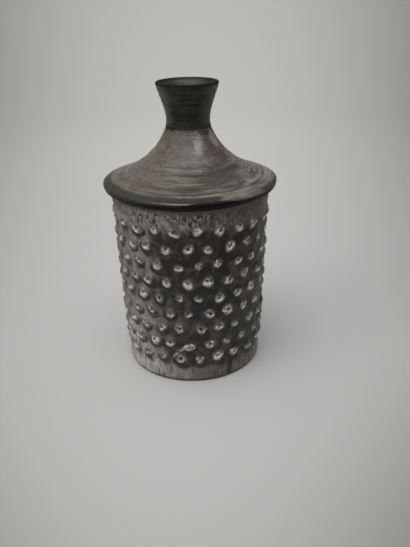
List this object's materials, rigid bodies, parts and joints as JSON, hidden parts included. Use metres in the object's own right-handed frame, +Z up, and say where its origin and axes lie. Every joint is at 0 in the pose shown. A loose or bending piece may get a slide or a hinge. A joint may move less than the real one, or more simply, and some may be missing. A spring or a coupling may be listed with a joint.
{
  "type": "lidded pot",
  "caption": "Tapering stoneware pot covered in burst clay bosses, with a drop-in lid that sweeps up to a flared, hollow knob.",
  "frame": {"origin": "centre of the foot, on the surface that the pot stands on", "axes": "+Z up along the pot's axis, out through the knob; -Y is the side that faces the camera in the picture"},
  "size_m": [0.121, 0.121, 0.202],
  "materials": {
    "rubbed_glaze": "satin",
    "streaked_glaze": "satin",
    "dark_glaze": "satin",
    "inner_glaze": "satin",
    "bare_clay": "matte"
  },
  "bodies": {
    "pot": {"pot_wall": "rubbed_glaze", "pot_floor": "inner_glaze"},
    "lid": {"lid_dome": "streaked_glaze", "lid_locating_ring": "bare_clay", "lid_knob": "dark_glaze"}
  },
  "joints": [
    {"name": "lid_lift", "type": "slide", "parent": "pot", "child": "lid", "axis": [0, 0, 1], "range_m": [0, 0.08]}
  ]
}
